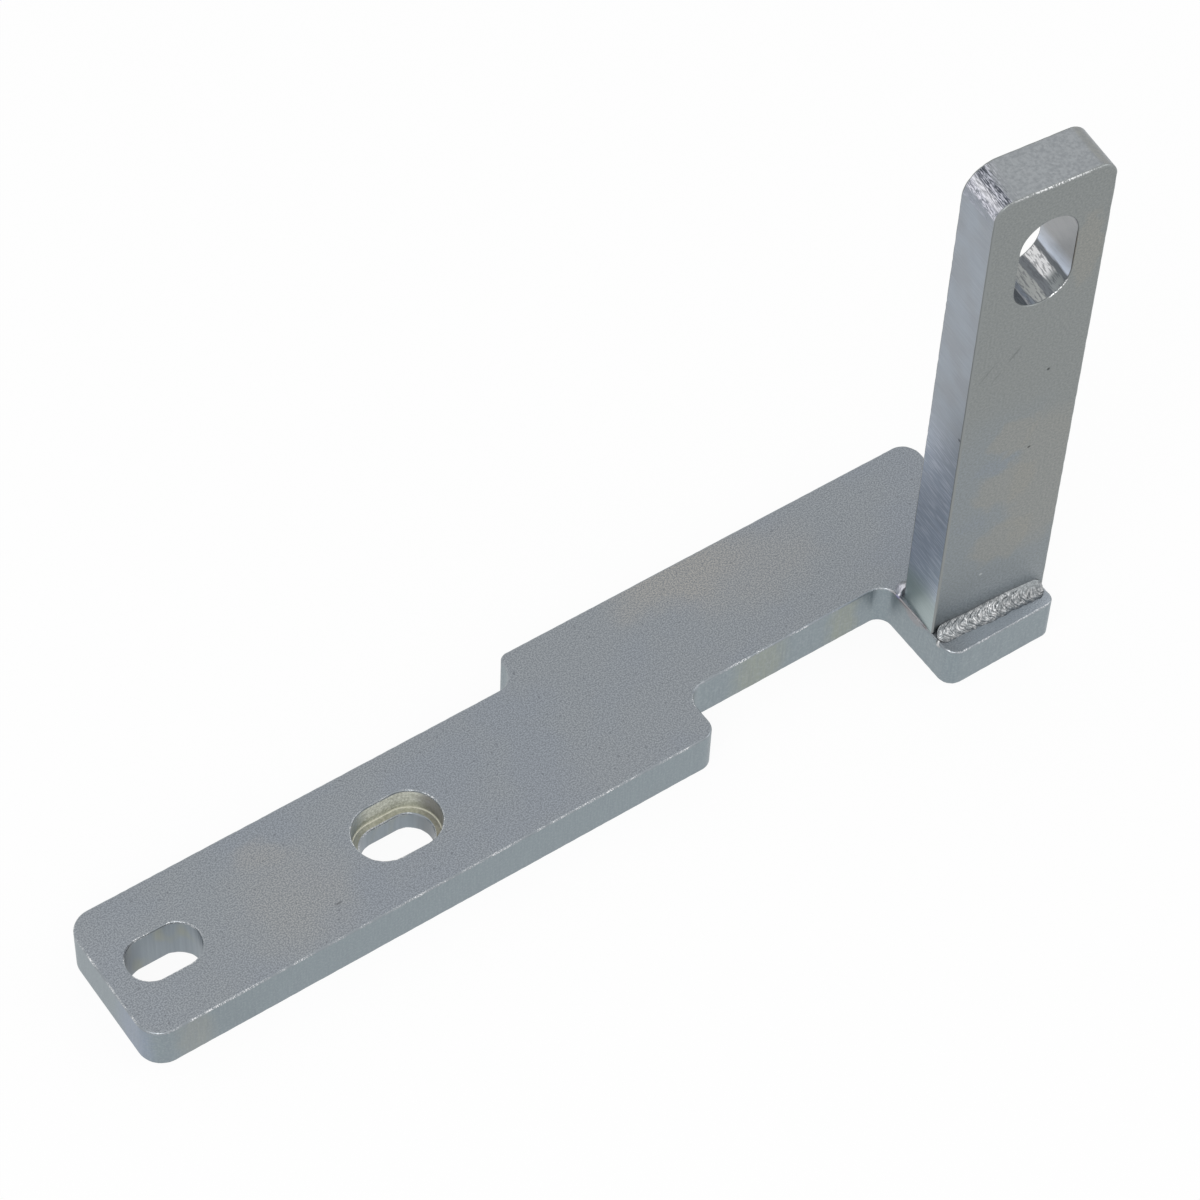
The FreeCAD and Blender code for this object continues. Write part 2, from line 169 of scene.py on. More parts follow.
def start_finish(name, roughness, metallic=1.0):
    """A metal finish: its tree, its shader, and Object coordinates in millimetres."""
    material = bpy.data.materials.new(name)
    material.use_nodes = True
    tree = material.node_tree
    shader = tree.nodes["Principled BSDF"]
    shader.inputs["Metallic"].default_value = metallic
    shader.inputs["Roughness"].default_value = roughness
    place = add(tree, "ShaderNodeTexCoord")
    in_mm = add(tree, "ShaderNodeMapping", {"Vector": place.outputs["Object"], "Scale": (MM, MM, MM)},
                vector_type="TEXTURE")
    return material, tree, shader, in_mm.outputs["Vector"]


def stretched(tree, coordinates, scale):
    """Coordinates scaled on each axis, so that a pattern is drawn out along the small ones."""
    return add(tree, "ShaderNodeMapping", {"Vector": coordinates, "Scale": scale}).outputs["Vector"]


def mottle(tree, coordinates, scale, detail=2.0, low=0.35, high=0.65):
    """Soft noise from 0 to 1, with a given number of spots to the millimetre."""
    spots = add(tree, "ShaderNodeTexNoise", {"Vector": coordinates, "Scale": scale, "Detail": detail})
    spread = add(tree, "ShaderNodeMapRange", {
        "Value": spots.outputs["Fac"], "From Min": low, "From Max": high}, clamp=True)
    return spread.outputs["Result"]


def near(tree, coordinates, middle, reach, soft, lean=0.0):
    """1 at a middle, falling to 0 at a reach in millimetres on each axis. It can lean over along X."""
    inward = add(tree, "ShaderNodeMapping", {
        "Vector": coordinates, "Location": middle, "Rotation": (0, lean, 0), "Scale": reach},
        vector_type="TEXTURE")
    away = add(tree, "ShaderNodeVectorMath", {0: inward.outputs["Vector"]}, operation="LENGTH")
    fall = add(tree, "ShaderNodeMapRange", {
        "Value": away.outputs["Value"], "From Min": 1.0, "From Max": 1.0 - soft},
        interpolation_type="SMOOTHSTEP")
    return fall.outputs["Result"]


def times(tree, one, other):
    """Two strengths multiplied."""
    return add(tree, "ShaderNodeMath", {0: one, 1: other}, operation="MULTIPLY").outputs["Value"]


def mixed(tree, strength, under, over):
    """One colour laid over another by a strength from 0 to 1."""
    return add(tree, "ShaderNodeMix", {0: strength, 6: under, 7: over}, data_type="RGBA").outputs[2]


def rgb(red, green, blue):
    """A colour as it looks on a screen, 0 to 255, turned to the light that it stands for."""
    return tuple(((part / 255 + 0.055) / 1.055) ** 2.4 for part in (red, green, blue)) + (1.0,)


def relief(tree, shader, height, depth, strength):
    """Raise the surface by a height pattern, its depth in millimetres."""
    bump = add(tree, "ShaderNodeBump", {"Height": height, "Strength": strength, "Distance": depth * MM})
    tree.links.new(bump.outputs["Normal"], shader.inputs["Normal"])


def ragged(tree, coordinates, scale, reach):
    """Coordinates pushed about by noise, so that a patch laid on them has an uneven edge."""
    push = add(tree, "ShaderNodeTexNoise", {"Vector": coordinates, "Scale": scale, "Detail": 3.0})
    centred = add(tree, "ShaderNodeVectorMath", {0: push.outputs["Color"], 1: (0.5, 0.5, 0.5)},
                  operation="SUBTRACT")
    moved = add(tree, "ShaderNodeVectorMath", {
        0: centred.outputs["Vector"], 1: (reach, reach, reach), 2: coordinates},
        operation="MULTIPLY_ADD")
    return moved.outputs["Vector"]


def patched(tree, coordinates, colour, patches):
    """Soft patches laid over a colour: each has a middle, a reach in millimetres, a strength, a tint."""
    for middle, reach, strength, tint in patches:
        patch = times(tree, near(tree, coordinates, middle, reach, 0.7), strength)
        colour = mixed(tree, patch, colour, tint)
    return colour


def blasted_skin():
    """The sheet's flat faces: a fine grain under blue-grey zinc, warmer in a few soft patches."""
    material, tree, shader, place = start_finish("plate_blasted_zinc", 0.5)
    grain = mottle(tree, place, 3.5, detail=5.0, low=0.41, high=0.58)
    cloud = mottle(tree, place, 0.06, detail=3.0, low=0.42, high=0.62)
    tan = rgb(169, 167, 162)
    colour = mixed(tree, cloud, rgb(155, 160, 164), rgb(152, 158, 165))
    colour = patched(tree, ragged(tree, place, 0.14, 9.0), colour, (
        ((99, 19.5, 10), (20, 10, 8), 0.85, tan), ((113, 13, 10), (20, 12, 8), 0.45, tan),
        ((1, -3, 10), (15, 16, 8), 0.4, tan), ((1, 8, 10), (8, 4, 8), 0.4, tan),
        ((-38, 0, 10), (20, 22, 8), 0.25, rgb(163, 168, 174))))
    colour = mixed(tree, times(tree, grain, 0.78), colour, rgb(120, 125, 131))
    pits = mottle(tree, place, 1.1, detail=1.0, low=0.70, high=0.74)
    colour = mixed(tree, times(tree, pits, 0.5), colour, rgb(104, 108, 114))
    # The first patch lightens the tab's top: partly its own paler tone, partly painted light that makes
    # up for the darker halo beside the bar and bead.
    colour = patched(tree, place, colour, (
        ((146, -23.5, 10), (17, 7, 4), 0.6, rgb(186, 195, 203)),
        ((6.7, -8.4, 10), (1.1, 0.35, 3), 0.55, rgb(84, 86, 90))))
    tree.links.new(colour, shader.inputs["Base Color"])
    relief(tree, shader, grain, 0.04, 0.6)
    return material


def cut_wall():
    """The cut walls of the outline: blue-grey with fine upright drag lines and a few olive parts."""
    material, tree, shader, place = start_finish("plate_cut_zinc", 0.42)
    lines = mottle(tree, stretched(tree, place, (1.0, 1.0, 0.06)), 2.6, detail=3.0, low=0.34, high=0.66)
    speckle = mottle(tree, place, 2.2, detail=2.0, low=0.45, high=0.7)
    olive = rgb(149, 155, 145)
    colour = patched(tree, ragged(tree, place, 0.3, 4.0), rgb(139, 150, 155), (
        ((-27.5, -15, 5), (5.5, 4, 14), 0.4, rgb(160, 159, 149)),
        ((-36.4, -9, 5), (3, 8, 14), 0.6, rgb(142, 154, 176)),
        ((103, -4.3, 5), (8.5, 4, 14), 0.85, olive), ((122.5, -4.3, 5), (5.0, 4, 14), 0.85, olive),
        ((85.5, -9, 5), (4, 8, 14), 0.9, rgb(110, 120, 124)),
        ((tab_left_x / MM, -12.5, 9.7), (3, 6.5, 1.6), 0.6, rgb(158, 148, 148))))
    colour = mixed(tree, times(tree, lines, 0.35), colour, rgb(126, 134, 142))
    colour = mixed(tree, times(tree, speckle, 0.28), colour, rgb(172, 180, 184))
    tree.links.new(colour, shader.inputs["Base Color"])
    relief(tree, shader, lines, 0.03, 0.5)
    return material


def rim_chips_and_glints():
    """The sharp edges: near-white flecks, partly chips in the plating and partly painted glints, and few
    along the back.
    """
    material, tree, shader, place = start_finish("plate_rim_zinc", 0.3)
    flecks = mottle(tree, place, 4.6, detail=3.0, low=0.5, high=0.6)
    runs = mottle(tree, place, 0.3, detail=2.0, low=0.4, high=0.66)
    across = add(tree, "ShaderNodeSeparateXYZ", {"Vector": place}).outputs["Y"]
    front = add(tree, "ShaderNodeMapRange", {
        "Value": across, "From Min": 14.8, "From Max": 13.0,
        "To Min": 0.2, "To Max": 1.0}).outputs["Result"]
    # Near-white flecks: partly chips in the plating, partly painted glints, strongest along the front
    # edges.
    chips_and_glints = times(tree, times(tree, flecks, runs), front)
    colour = mixed(tree, chips_and_glints, rgb(142, 148, 153), rgb(250, 251, 252))
    tab_left = tab_left_x / MM
    colour = patched(tree, place, colour, (
        ((-30, 3.6, 10), (3.5, 2.2, 1), 0.8, rgb(74, 78, 84)),
        ((tab_left, -11, 10), (1.5, 7, 1), 0.6, rgb(152, 143, 143)),
        ((tab_left, -8, 10), (1.5, 0.8, 1), 0.8, rgb(140, 140, 178)),
        ((tab_left, -16.5, 10), (1.5, 1.0, 1), 0.45, rgb(104, 86, 82))))
    tree.links.new(colour, shader.inputs["Base Color"])
    return material


def slot_wall():
    """The walls of the slots: upright cutting lines, blue-grey, darker where little light comes in."""
    material, tree, shader, place = start_finish("plate_slot_zinc", 0.4, metallic=0.85)
    lines = mottle(tree, stretched(tree, place, (1.0, 1.0, 0.04)), 1.5, detail=3.0, low=0.3, high=0.7)
    warm = mottle(tree, stretched(tree, place, (1.0, 1.0, 0.5)), 0.25, detail=1.0, low=0.5, high=0.65)
    colour = mixed(tree, warm, rgb(146, 155, 162), rgb(153, 158, 151))
    colour = patched(tree, place, colour, (
        ((-33.0, 2, 5), (8.5, 7, 14), 0.95, rgb(66, 76, 86)),
        ((33, 0, 3), (5, 6, 12), 0.6, rgb(112, 112, 112))))
    colour = mixed(tree, times(tree, lines, 0.4), colour, rgb(118, 127, 133))
    tree.links.new(colour, shader.inputs["Base Color"])
    relief(tree, shader, lines, 0.04, 0.6)
    return material


def milled_recess():
    """The counterbore: level rings from the cutter, blue at the left, then light olive, then mauve."""
    material, tree, shader, place = start_finish("plate_recess_zinc", 0.38, metallic=0.45)
    rings = mottle(tree, stretched(tree, place, (0.05, 0.05, 1.0)), 2.4, detail=2.0, low=0.3, high=0.7)
    grain = mottle(tree, place, 2.2, detail=2.0)
    uneven = ragged(tree, place, 0.4, 1.6)
    colour = mixed(tree, rings, rgb(206, 208, 196), rgb(232, 234, 223))
    colour = patched(tree, uneven, colour, (
        ((17.0, 5, 8), (6.5, 6, 9), 0.9, rgb(124, 137, 148)),
        ((33.2, 0, 8), (3.6, 7, 9), 0.85, rgb(116, 114, 118)),
        ((30.5, -3, 4.8), (3.0, 3.0, 1.0), 0.7, rgb(120, 104, 84))))
    colour = patched(tree, place, colour, (
        ((24.6, 0, 4.8), (14, 12, 0.45), 0.85, rgb(167, 165, 147)),))
    colour = mixed(tree, times(tree, grain, 0.5), colour, rgb(124, 124, 106))
    height = add(tree, "ShaderNodeSeparateXYZ", {"Vector": place}).outputs["Z"]
    line = add(tree, "ShaderNodeMath", {0: height, 1: 5.02, 2: 0.15},
               operation="COMPARE").outputs["Value"]
    colour = mixed(tree, times(tree, line, 0.7), colour, rgb(244, 243, 228))
    tree.links.new(colour, shader.inputs["Base Color"])
    relief(tree, shader, rings, 0.04, 0.6)
    return material


plate = bmesh.new()
cut_outline(plate, plate_corners, Matrix.Identity(4))
risen = bmesh.ops.extrude_face_region(plate, geom=plate.faces[:])["geom"]
bmesh.ops.translate(plate, vec=(0, 0, plate_top),
                    verts=[item for item in risen if isinstance(item, bmesh.types.BMVert)])
for face in plate.faces:
    face.material_index = PLATE_SKIN if len(face.verts) > 4 else PLATE_CUT
flats = [face for face in plate.faces if len(face.verts) > 4]
bmesh.ops.bevel(plate, geom=list({edge for flat in flats for edge in flat.edges}),
                offset=edge_break, offset_type="OFFSET", affect="EDGES", segments=4,
                profile=0.5, material=PLATE_RIM)
flats = [face for face in plate.faces if len(face.verts) > 4]
bmesh.ops.delete(plate, geom=flats, context="FACES_ONLY")


def plate_ring(middle_x, length, width, height, flare=0.0):
    """A level ring of one of the plate's slots, widened by a flare."""
    place = Matrix.Translation((middle_x, 0, height))
    return slot_ring(plate, length + 2 * flare, width + 2 * flare, place)


for middle_x, upper in ((-slot_x, plate_top), (slot_x, ledge_z)):
    low_rim = [plate_ring(middle_x, slot_length, slot_width, 0, rim_flare),
               plate_ring(middle_x, slot_length, slot_width, rim_waist, rim_flare / 4),
               plate_ring(middle_x, slot_length, slot_width, low_rim_depth)]
    high_rim = [plate_ring(middle_x, slot_length, slot_width, upper - rim_depth),
                plate_ring(middle_x, slot_length, slot_width, upper - rim_waist, rim_flare / 4),
                plate_ring(middle_x, slot_length, slot_width, upper, rim_flare)]
    slot_walls(plate, low_rim, PLATE_RIM)
    slot_walls(plate, [low_rim[-1], high_rim[0]], PLATE_SLOT)
    slot_walls(plate, high_rim, PLATE_RIM)
ledge = [high_rim[-1],
         plate_ring(slot_x, recess_length, recess_width, ledge_z, -ledge_fillet),
         plate_ring(slot_x, recess_length, recess_width, ledge_z + ledge_waist, -ledge_waist),
         plate_ring(slot_x, recess_length, recess_width, ledge_z + ledge_fillet)]
slot_walls(plate, ledge, PLATE_RECESS)
recess_rim = [plate_ring(slot_x, recess_length, recess_width, plate_top - rim_depth),
              plate_ring(slot_x, recess_length, recess_width, plate_top - rim_waist, rim_flare / 4),
              plate_ring(slot_x, recess_length, recess_width, plate_top, rim_flare)]
slot_walls(plate, [ledge[-1], recess_rim[0]], PLATE_RECESS)
slot_walls(plate, recess_rim, PLATE_RIM)
for level in (0, plate_top):
    open_edges = [edge for edge in plate.edges
                  if edge.is_boundary and all(abs(vertex.co.z - level) < 1e-7 for vertex in edge.verts)]
    skin = bmesh.ops.triangle_fill(plate, use_beauty=True, edges=open_edges)["geom"]
    for face in [item for item in skin if isinstance(item, bmesh.types.BMFace)]:
        face.material_index = PLATE_SKIN
bmesh.ops.recalc_face_normals(plate, faces=plate.faces)
fray(plate, PLATE_RIM, rim_nick, 2, (0, plate_top))
finish_piece("plate_body", plate, [
    blasted_skin(), cut_wall(), rim_chips_and_glints(), slot_wall(), milled_recess()],
    "plate_zinc", "base_plate")

# Upright bar: a length of 25 by 10 mm flat bar standing on the tab, turned 5 degrees. Its faces are
# as rolled and satin under the zinc, its sides are scored across by a grinder, and its top left
# corner was ground round by hand, further at the back. One drilled and filed slot goes through it.
bar_turn = math.radians(5)
bar_width = 24.8 * MM
bar_thick = 10.3 * MM
bar_foot = Vector((132.2 * MM, -18.8 * MM, plate_top))
bar_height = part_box("upright_bar")[1].z - plate_top
bar_place = Matrix.Translation(bar_foot) @ Matrix.Rotation(-bar_turn, 4, "Z")
bar_slot_width = 11.8 * MM
bar_slot_length = 21.5 * MM
bar_slot_drop = 19.5 * MM
bar_right_radius = 4.0 * MM
bar_edge_break = 0.4 * MM
bar_rim_flare = 0.15 * MM
bar_rim_waist = 0.08 * MM
bar_waist_flare = 0.05 * MM
bar_rim_depth = 0.25 * MM
bar_rim_nick = 0.08 * MM
ground_front = 3.8 * MM
ground_back = 6.4 * MM
groove_depth = 0.12 * MM
BAR_FACE, BAR_SIDE, BAR_END, BAR_RIM, BAR_SLOT, BAR_GROUND = range(6)


def start_bar_finish(name, roughness):
    """A finish with its coordinates in the bar's own frame: across, through and up, in millimetres."""
    material, tree, shader, place = start_finish(name, roughness)
    in_bar = add(tree, "ShaderNodeMapping", {
        "Vector": place, "Location": tuple(bar_foot / MM), "Rotation": (0, 0, -bar_turn)},
        vector_type="TEXTURE")
    return material, tree, shader, in_bar.outputs["Vector"]


def rolled_face():
    """The bar's wide faces: satin olive-grey with tan and blue clouds and a few small scratches."""
    material, tree, shader, place = start_bar_finish("bar_rolled_zinc", 0.42)
    fine = mottle(tree, place, 2.2, detail=4.0, low=0.36, high=0.64)
    tan = rgb(152, 151, 144)
    blue = rgb(138, 146, 154)
    uneven = ragged(tree, place, 0.28, 7.0)
    low = near(tree, uneven, (8, 0, 20), (30, 8, 48), 0.4)
    colour = mixed(tree, low, rgb(142, 146, 145), rgb(140, 147, 151))
    clouds = (((20, 0, 36), (9, 8, 24)), ((13, 0, 21), (8, 8, 7)), ((11.5, 0, 38), (8, 8, 7)),
              ((12, 0, 52), (6, 8, 6)), ((21, 0, 98), (3.5, 8, 12)))
    for middle, reach in clouds:
        cloud = times(tree, near(tree, uneven, middle, reach, 0.35), 0.6)
        colour = mixed(tree, cloud, colour, tan)
    colour = patched(tree, uneven, colour, (
        ((8.5, 0, 45.5), (5.5, 8, 2.8), 0.8, blue), ((5.5, 0, 30), (5, 8, 3), 0.6, blue)))
    # Painted light: the face is painted lighter low down by the bead and tab, to make up for the darker
    # halo they leave on it.
    colour = patched(tree, place, colour, (((12, 0, 4.5), (16, 4, 7.5), 0.6, rgb(162, 168, 173)),))
    colour = mixed(tree, times(tree, fine, 0.6), colour, rgb(118, 123, 124))
    colour = patched(tree, place, colour, (
        ((17, 0, 68), (0.5, 3, 0.5), 0.9, rgb(60, 62, 64)),
        ((15.6, 0, 47), (0.5, 3, 0.4), 0.9, rgb(66, 66, 66)),
        ((9.3, 0, 13), (0.5, 3, 0.5), 0.9, rgb(176, 180, 182))))
    scratches = (((8.9, 0, 76.5), (0.35, 3, 2.8), 0.5), ((3.4, 0, 74), (0.3, 3, 4.0), 0.35),
                 ((5.6, 0, 72), (0.3, 3, 2.0), 0.3))
    for middle, reach, strength in scratches:
        scratch = times(tree, near(tree, place, middle, reach, 0.7, lean=0.66), strength)
        colour = mixed(tree, scratch, colour, rgb(96, 100, 102))
    tree.links.new(colour, shader.inputs["Base Color"])
    relief(tree, shader, fine, 0.03, 0.45)
    return material


def scored_side():
    """The bar's narrow sides: light above, bluer below with bright marks across, greenish at the foot.
    Below, the colour is partly its own tone and partly painted light, raised to make up for the darker
    plate reflected there.
    """
    material, tree, shader, place = start_bar_finish("bar_scored_zinc", 0.38)
    up = add(tree, "ShaderNodeSeparateXYZ", {"Vector": place}).outputs["Z"]
    lower = add(tree, "ShaderNodeMapRange", {"Value": up, "From Min": 62.0, "From Max": 38.0},
                interpolation_type="SMOOTHSTEP").outputs["Result"]
    foot = add(tree, "ShaderNodeMapRange", {"Value": up, "From Min": 14.0, "From Max": 6.0},
               interpolation_type="SMOOTHSTEP").outputs["Result"]
    marks = mottle(tree, stretched(tree, place, (1.0, 0.1, 1.1)), 2.4, detail=1.0, low=0.5, high=0.62)
    fine = mottle(tree, stretched(tree, place, (1.0, 0.05, 1.0)), 3.0, detail=2.0, low=0.3, high=0.7)
    haze = mottle(tree, place, 0.12, detail=2.0, low=0.4, high=0.6)
    colour = mixed(tree, haze, rgb(160, 168, 177), rgb(155, 161, 168))
    # Painted light in part: the lower part is painted lighter, to make up for the darker plate reflected
    # in it.
    colour = mixed(tree, lower, colour, rgb(184, 195, 212))
    colour = mixed(tree, times(tree, fine, 0.3), colour, rgb(120, 127, 138))
    colour = mixed(tree, times(tree, times(tree, marks, lower), 0.6), colour, rgb(222, 227, 238))
    colour = mixed(tree, times(tree, foot, 0.85), colour, rgb(156, 170, 168))
    colour = patched(tree, place, colour, (((0, 0.7, 57.0), (3, 0.5, 0.5), 0.8, rgb(66, 70, 76)),))
    tree.links.new(colour, shader.inputs["Base Color"])
    relief(tree, shader, fine, 0.03, 0.5)
    return material


def sawn_end():
    """The bar's top: a grainy grey, olive along its right edge."""
    material, tree, shader, place = start_bar_finish("bar_sawn_zinc", 0.5)
    grain = mottle(tree, place, 1.7, detail=3.0, low=0.36, high=0.64)
    colour = patched(tree, place, rgb(160, 164, 167), (
        ((22.3, 5.0, 118.0), (1.5, 14.0, 9.0), 0.45, rgb(134, 133, 122)),
        ((24.4, 5.0, 115.0), (1.6, 14.0, 4.0), 0.7, rgb(150, 152, 150))))
    colour = mixed(tree, times(tree, grain, 0.6), colour, rgb(132, 136, 140))
    tree.links.new(colour, shader.inputs["Base Color"])
    relief(tree, shader, grain, 0.06, 0.6)
    return material


def bar_rim():
    """The bar's long edges: dull and a little rounded, with a broken bright line along the top front, a
    painted highlight, and near-white flecks round the slot's foot, partly chips in the plating and partly
    painted glints.
    """
    material, tree, shader, place = start_bar_finish("bar_rim_zinc", 0.36)
    flecks = mottle(tree, place, 3.2, detail=3.0, low=0.47, high=0.56)
    # top_front is a painted highlight along the top front edge; slot_foot adds flecks that are partly
    # chips and partly painted glints.
    top_front = near(tree, place, (12.0, 0.2, 118.3), (13.0, 0.34, 0.34), 0.9)
    slot_foot = near(tree, place, (16.5, 0.0, 89.5), (2.8, 1.4, 3.0), 0.4)
    chips_and_glints = add(tree, "ShaderNodeMath", {0: top_front, 1: slot_foot},
                  operation="MAXIMUM").outputs["Value"]
    colour = mixed(tree, times(tree, flecks, chips_and_glints), rgb(138, 142, 142), rgb(246, 247, 248))
    colour = patched(tree, place, colour, (((18.3, 0.0, 99.0), (0.8, 1.4, 7.0), 0.55, rgb(96, 86, 74)),))
    tree.links.new(colour, shader.inputs["Base Color"])
    return material


def filed_slot_painted_bands():
    """The bar's slot, filed through: painted highlight and painted shade laid in bands that change round
    its lower end.
    """
    material, tree, shader, place = start_bar_finish("bar_slot_zinc", 0.34)
    shader.inputs["Metallic"].default_value = 0.2
    parts = add(tree, "ShaderNodeSeparateXYZ", {"Vector": place}).outputs
    across = add(tree, "ShaderNodeMath", {0: parts["X"], 1: bar_width / 2 / MM}, operation="SUBTRACT")
    foot_z = (bar_height - bar_slot_drop - (bar_slot_length - bar_slot_width) / 2) / MM
    below = add(tree, "ShaderNodeMath", {0: foot_z, 1: parts["Z"]}, operation="SUBTRACT")
    angle = add(tree, "ShaderNodeMath", {0: below.outputs["Value"], 1: across.outputs["Value"]},
                operation="ARCTAN2").outputs["Value"]
    stray = mottle(tree, stretched(tree, place, (1.0, 0.14, 1.0)), 1.6, detail=4.0, low=0.2, high=0.8)
    turn = add(tree, "ShaderNodeMath", {0: stray, 1: 0.18, 2: angle},
               operation="MULTIPLY_ADD").outputs["Value"]
    share = add(tree, "ShaderNodeMapRange", {
        "Value": turn, "From Min": math.radians(-25.4),
        "From Max": math.radians(154.6)}).outputs["Result"]
    # The bands are mostly painted light: glint is a painted highlight, shadow and dark are painted shade,
    # and sky is a painted reflection; grey, olive and steel are plain tones.
    grey, sky, shadow = rgb(174, 176, 178), rgb(226, 235, 250), rgb(120, 125, 130)
    olive, steel, dark = rgb(176, 179, 177), rgb(128, 136, 146), rgb(74, 81, 87)
    shades = []
    for glint in (rgb(152, 157, 158), rgb(254, 254, 255)):
        ramp = add(tree, "ShaderNodeValToRGB", {"Fac": share})
        bands = ((-22, grey), (18, sky), (24, shadow), (31, shadow), (34, glint), (56, glint),
                 (59, shadow), (72, shadow), (75, olive), (96, olive), (99, steel), (108, steel),
                 (110, grey), (114, dark))
        stops = ramp.color_ramp.elements
        stops[0].color, stops[1].color = grey, dark
        for degrees, tint in bands:
            stops.new((degrees + 30) / 180).color = tint
        shades.append(ramp.outputs["Color"])
    # The painted highlight stays dull near the front face and turns near-white deeper in the slot.
    deep = add(tree, "ShaderNodeMapRange", {"Value": parts["Y"], "From Min": 2.6, "From Max": 4.6},
               interpolation_type="SMOOTHSTEP").outputs["Result"]
    # Dark streaks, and faint streaks of painted shade, break up the painted highlight and the bands past
    # it.
    streaks = mottle(tree, stretched(tree, place, (1.0, 0.2, 1.0)), 3.2, detail=4.0, low=0.5, high=0.6)
    lower = add(tree, "ShaderNodeMapRange", {
        "Value": turn, "From Min": 0.4, "From Max": 0.6}).outputs["Result"]
    colour = mixed(tree, deep, shades[0], shades[1])
    colour = mixed(tree, times(tree, times(tree, streaks, lower), 0.6), colour, rgb(92, 96, 102))
    colour = mixed(tree, times(tree, streaks, 0.1), colour, shadow)
    tree.links.new(colour, shader.inputs["Base Color"])
    relief(tree, shader, streaks, 0.03, 0.5)
    return material


def ground_corner():
    """The hand-ground corner: fine streaks, with a painted highlight as a bright band along it, and a
    darker broken band beside it.
    """
    material, tree, shader, place = start_bar_finish("bar_ground_zinc", 0.28)
    streaks = mottle(tree, stretched(tree, place, (1.0, 0.25, 1.0)), 4.2, detail=4.0, low=0.42, high=0.58)
    bands = mottle(tree, stretched(tree, place, (1.0, 0.03, 1.0)), 0.5, detail=1.0, low=0.4, high=0.58)
    colour = mixed(tree, streaks, rgb(140, 144, 152), rgb(190, 192, 202))
    # A painted highlight: the streaks turn near-white in a band along the corner.
    colour = mixed(tree, times(tree, bands, streaks), colour, rgb(240, 240, 250))
    dark = near(tree, place, (3.2, 5.0, 118.0), (3.0, 14.0, 2.4), 0.7)
    gaps = mottle(tree, stretched(tree, place, (1.0, 0.1, 1.0)), 4.4, detail=4.0, low=0.44, high=0.58)
    uneven = ragged(tree, place, 1.2, 1.0)
    # A painted highlight: a near-white band near the top of the corner.
    colour = patched(tree, uneven, colour, (
        ((1.4, 5, 116.9), (1.0, 14, 1.2), 0.6, rgb(250, 250, 255)),))
    colour = mixed(tree, times(tree, gaps, 0.4), colour, rgb(78, 82, 92))
    colour = mixed(tree, times(tree, dark, gaps), colour, rgb(74, 78, 86))
    colour = patched(tree, uneven, colour, (
        ((0.1, 5, 113.8), (1.0, 14, 2.4), 0.85, rgb(152, 158, 168)),
        ((5.6, 5, 118.5), (3.0, 12, 1.2), 0.9, rgb(150, 154, 157))))
    tree.links.new(colour, shader.inputs["Base Color"])
    relief(tree, shader, streaks, 0.05, 0.7)
    return material


def bar_ring(depth, flare=0.0):
    """A ring of the bar's slot at a depth in the bar, widened by a flare."""
    middle = Matrix.Translation((bar_width / 2, depth, bar_height - bar_slot_drop))
    upright = Matrix.Rotation(math.pi / 2, 4, "X") @ Matrix.Rotation(math.pi / 2, 4, "Z")
    return slot_ring(bar, bar_slot_length + 2 * flare, bar_slot_width + 2 * flare, middle @ upright)


bar = bmesh.new()
for depth, ground_radius in ((0.0, ground_front), (bar_thick, ground_back)):
    layer = bmesh.new()
    bar_corners = [((0, 0), 0.0), ((bar_width, 0), 0.0), ((bar_width, bar_height), bar_right_radius),
                   ((0, bar_height), ground_radius)]
    cut_outline(layer, bar_corners,
                Matrix.Translation((0, depth, 0)) @ Matrix.Rotation(math.pi / 2, 4, "X"), arc_steps=24)
    outline_mesh = bpy.data.meshes.new("bar_outline")
    layer.to_mesh(outline_mesh)
    layer.free()
    bar.from_mesh(outline_mesh)
    bpy.data.meshes.remove(outline_mesh)
wide_faces = bar.faces[:]
bmesh.ops.bridge_loops(bar, edges=[edge for edge in bar.edges if edge.is_boundary])
bmesh.ops.recalc_face_normals(bar, faces=bar.faces)
for face in bar.faces:
    middle = face.calc_center_median()
    if face in wide_faces:
        face.material_index = BAR_FACE
    elif face.normal.z > 0.3 and middle.x > bar_width / 2 or abs(face.normal.z) > 0.99:
        face.material_index = BAR_END
    elif abs(face.normal.x) > 0.99 or middle.x > bar_width / 2:
        face.material_index = BAR_SIDE
    else:
        face.material_index = BAR_GROUND
bmesh.ops.bevel(bar, geom=list({edge for face in wide_faces for edge in face.edges}),
                offset=bar_edge_break, offset_type="OFFSET", affect="EDGES", segments=4,
                profile=0.5, material=BAR_RIM)
bmesh.ops.delete(bar, geom=[face for face in bar.faces if len(face.verts) > 4], context="FACES_ONLY")
bar.normal_update()
ground = {vertex for face in bar.faces if face.material_index == BAR_GROUND for vertex in face.verts}
for vertex in ground:
    radius = ground_front + (ground_back - ground_front) * vertex.co.y / bar_thick
    angle = math.atan2(vertex.co.z - bar_height + radius, radius - vertex.co.x)
    groove = noise.noise(Vector((angle * 9, 0, 0.5))) + 0.5 * noise.noise(Vector((angle * 23, 0, 2.5)))
    vertex.co -= vertex.normal * groove_depth * max(0.0, groove + 0.2)
front_rings = [bar_ring(0, bar_rim_flare), bar_ring(bar_rim_waist, bar_waist_flare),
               bar_ring(bar_rim_depth)]
wall_rings = [bar_ring(bar_rim_depth), bar_ring(bar_thick - bar_rim_depth)]
back_rings = [bar_ring(bar_thick - bar_rim_depth), bar_ring(bar_thick - bar_rim_waist, bar_waist_flare),
              bar_ring(bar_thick, bar_rim_flare)]
slot_walls(bar, front_rings, BAR_RIM)
slot_walls(bar, wall_rings, BAR_SLOT)
slot_walls(bar, back_rings, BAR_RIM)
bmesh.ops.remove_doubles(bar, verts=bar.verts, dist=1e-7)
